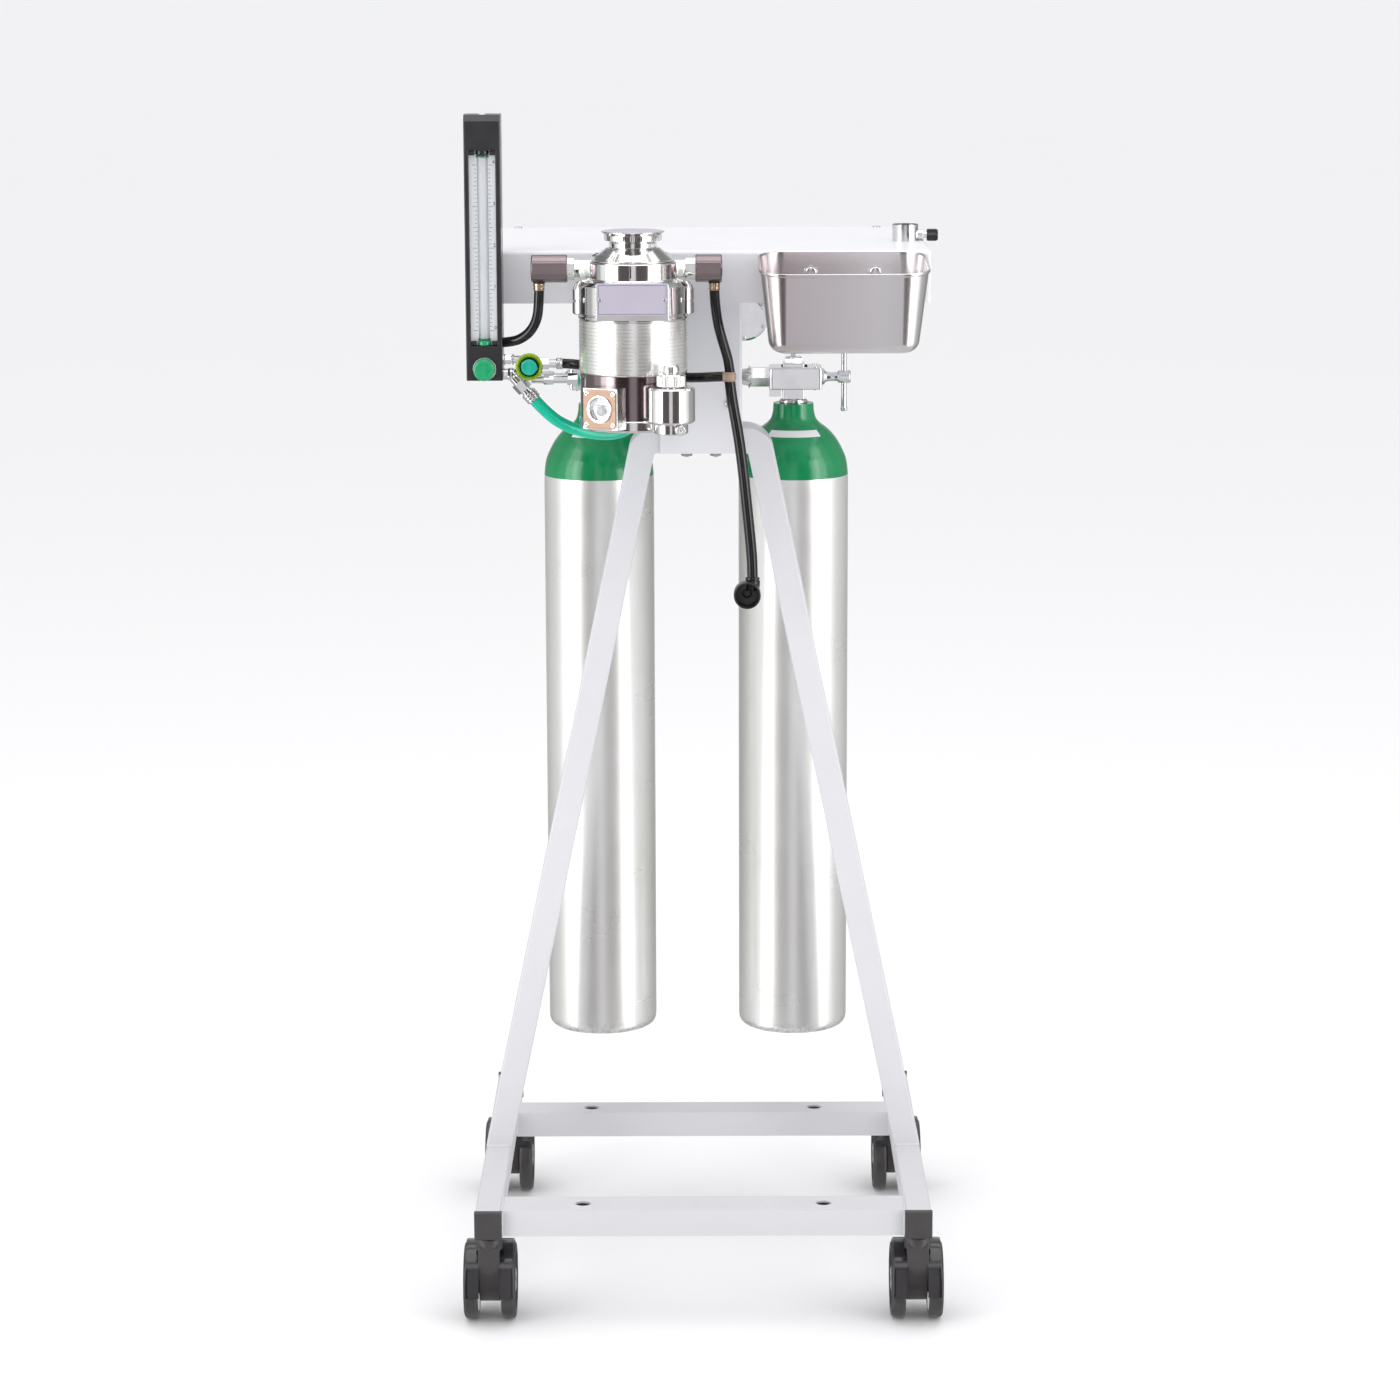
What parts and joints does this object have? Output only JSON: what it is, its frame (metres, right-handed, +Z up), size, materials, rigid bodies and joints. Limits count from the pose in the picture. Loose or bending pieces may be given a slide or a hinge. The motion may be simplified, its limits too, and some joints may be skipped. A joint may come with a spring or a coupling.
{
  "type": "anaesthesia machine on a mobile stand",
  "caption": "Inhalation anaesthesia machine on a wheeled A-frame stand, with oxygen cylinders in yokes, vaporizer, flowmeter, flush button, tray and hoses.",
  "frame": {"origin": "on the floor, at the middle of the stand's box", "axes": "+Z up, +Y to the rear (the cylinders' side), +X to the operator's right"},
  "size_m": [0.4645, 0.482, 1.154],
  "materials": {
    "white_powder_coat": "satin powder coat",
    "black_plastic": "satin moulded plastic",
    "caster_plastic": "glossy moulded nylon",
    "caster_tread": "smooth polyurethane tread",
    "zinc_steel": "zinc plated",
    "chrome": "polished",
    "polished_steel": "polished and lathe turned",
    "stainless": "brushed along its length",
    "cylinder_aluminium": "brushed, shoulder painted green",
    "lime_anodised": "anodised",
    "lavender_plate": "printed plate",
    "green_plastic": "glossy",
    "teal_plastic": "glossy",
    "clear_plastic": "clear",
    "white_plastic": "printed scale",
    "black_hose": "smooth",
    "green_hose": "smooth, slightly glossy",
    "tan_plastic": "moulded",
    "brass": "machined",
    "black_rubber": "moulded"
  },
  "bodies": {
    "root": {"a_frame": "white_powder_coat", "side_rails": "white_powder_coat", "cross_rails": "white_powder_coat", "rail_end_caps": "black_plastic", "caster_stems": "zinc_steel", "column": "white_powder_coat", "frame_bolts": "zinc_steel", "panel_screws": "zinc_steel", "head_cover": "white_powder_coat", "head_base_plate": "white_powder_coat", "vaporizer_bracket": "polished_steel", "vaporizer_body": "polished_steel", "vaporizer_plate": "lavender_plate", "sight_glass_housing": "polished_steel", "sight_glass_lens": "clear_plastic", "filler_block": "polished_steel", "port_elbows": "black_plastic", "hose_barbs": "brass", "flowmeter_housing": "black_plastic", "flow_tube": "clear_plastic", "flow_scale_plate": "white_plastic", "flush_valve_body": "chrome", "flush_bezel": "lime_anodised", "supply_fittings": "chrome", "tray": "stainless", "yokes": "chrome", "yoke_seals": "black_rubber", "manifold": "chrome", "oxygen_cylinders": "cylinder_aluminium", "cylinder_valves": "chrome", "regulator": "chrome", "gauge_case": "chrome", "pole_clamp": "chrome", "vaporizer_inlet_hose": "black_hose", "vaporizer_outlet_hose": "black_hose", "flush_hose": "black_hose", "fresh_gas_hose": "black_hose", "oxygen_supply_hose": "green_hose", "hose_tee": "tan_plastic", "fresh_gas_connector": "black_plastic"},
    "dial": {"vaporizer_dial": "polished_steel"},
    "knob": {"flow_knob": "green_plastic"},
    "float": {"flow_float": "green_plastic"},
    "button": {"flush_button": "teal_plastic"},
    "filler_cap": {"filler_cap": "polished_steel"},
    "drain_screw": {"drain_screw": "polished_steel"},
    "yoke_screw_left": {"yoke_screw_left": "chrome"},
    "yoke_screw_right": {"yoke_screw_right": "chrome"},
    "valve_stem_left": {"valve_stem_left": "chrome"},
    "valve_stem_right": {"valve_stem_right": "chrome"},
    "clamp_screw": {"clamp_screw": "black_plastic"},
    "gauge_pointer": {"gauge_pointer": "black_plastic"},
    "fork_front_left": {"caster_fork_front_left": "caster_plastic"},
    "wheels_front_left": {"caster_wheels_front_left": "caster_tread"},
    "fork_front_right": {"caster_fork_front_right": "caster_plastic"},
    "wheels_front_right": {"caster_wheels_front_right": "caster_tread"},
    "fork_rear_left": {"caster_fork_rear_left": "caster_plastic"},
    "wheels_rear_left": {"caster_wheels_rear_left": "caster_tread"},
    "fork_rear_right": {"caster_fork_rear_right": "caster_plastic"},
    "wheels_rear_right": {"caster_wheels_rear_right": "caster_tread"}
  },
  "joints": [
    {"name": "caster_swivel_front_left", "type": "hinge", "parent": "root", "child": "fork_front_left", "pos_m": [-0.2065, -0.221, 0.08], "axis": [0, 0, 1], "continuous": true},
    {"name": "wheel_spin_front_left", "type": "hinge", "parent": "fork_front_left", "child": "wheels_front_left", "pos_m": [-0.2065, -0.201, 0.0375], "axis": [1, 0, 0], "continuous": true},
    {"name": "caster_swivel_front_right", "type": "hinge", "parent": "root", "child": "fork_front_right", "pos_m": [0.2065, -0.221, 0.08], "axis": [0, 0, 1], "continuous": true},
    {"name": "wheel_spin_front_right", "type": "hinge", "parent": "fork_front_right", "child": "wheels_front_right", "pos_m": [0.2065, -0.201, 0.0375], "axis": [1, 0, 0], "continuous": true},
    {"name": "caster_swivel_rear_left", "type": "hinge", "parent": "root", "child": "fork_rear_left", "pos_m": [-0.2065, 0.221, 0.08], "axis": [0, 0, 1], "continuous": true},
    {"name": "wheel_spin_rear_left", "type": "hinge", "parent": "fork_rear_left", "child": "wheels_rear_left", "pos_m": [-0.2065, 0.201, 0.0375], "axis": [1, 0, 0], "continuous": true},
    {"name": "caster_swivel_rear_right", "type": "hinge", "parent": "root", "child": "fork_rear_right", "pos_m": [0.2065, 0.221, 0.08], "axis": [0, 0, 1], "continuous": true},
    {"name": "wheel_spin_rear_right", "type": "hinge", "parent": "fork_rear_right", "child": "wheels_rear_right", "pos_m": [0.2065, 0.201, 0.0375], "axis": [1, 0, 0], "continuous": true},
    {"name": "dial_turn", "type": "hinge", "parent": "root", "child": "dial", "pos_m": [-0.0636, -0.142, 1.03], "axis": [0, 0, 1], "range_deg": [0, 240]},
    {"name": "flow_knob_turn", "type": "hinge", "parent": "root", "child": "knob", "pos_m": [-0.2054, -0.122, 0.915], "axis": [0, -1, 0], "range_deg": [0, 1440]},
    {"name": "float_rise", "type": "slide", "parent": "root", "child": "float", "axis": [0, 0, 1], "range_m": [0, 0.165]},
    {"name": "flush_press", "type": "slide", "parent": "root", "child": "button", "axis": [0, 1, 0], "range_m": [0, 0.004], "stiffness_N_per_m": 1500, "springref_m": -0.001},
    {"name": "filler_cap_turn", "type": "hinge", "parent": "root", "child": "filler_cap", "pos_m": [-0.028, -0.203, 0.915], "axis": [0, 0, 1], "range_deg": [0, 1080]},
    {"name": "drain_turn", "type": "hinge", "parent": "root", "child": "drain_screw", "pos_m": [-0.019, -0.217, 0.868], "axis": [0, -1, 0], "range_deg": [0, 1080]},
    {"name": "yoke_screw_turn_left", "type": "hinge", "parent": "root", "child": "yoke_screw_left", "pos_m": [-0.135, 0.117, 0.881], "axis": [-1, 0, 0], "range_deg": [0, 1800]},
    {"name": "valve_turn_left", "type": "hinge", "parent": "root", "child": "valve_stem_left", "pos_m": [-0.1035, 0.117, 0.895], "axis": [0, 0, 1], "range_deg": [0, 720]},
    {"name": "yoke_screw_turn_right", "type": "hinge", "parent": "root", "child": "yoke_screw_right", "pos_m": [0.125, 0.117, 0.881], "axis": [1, 0, 0], "range_deg": [0, 1800]},
    {"name": "valve_turn_right", "type": "hinge", "parent": "root", "child": "valve_stem_right", "pos_m": [0.0935, 0.117, 0.895], "axis": [0, 0, 1], "range_deg": [0, 720]},
    {"name": "clamp_screw_turn", "type": "hinge", "parent": "root", "child": "clamp_screw", "pos_m": [0.215, 0.0334, 1.0295], "axis": [1, 0, 0], "range_deg": [0, 1080]},
    {"name": "gauge_reading", "type": "hinge", "parent": "root", "child": "gauge_pointer", "pos_m": [0.043, 0.115, 0.948], "axis": [0, -1, 0], "range_deg": [0, 270], "stiffness_Nm_per_rad": 0.0002}
  ]
}
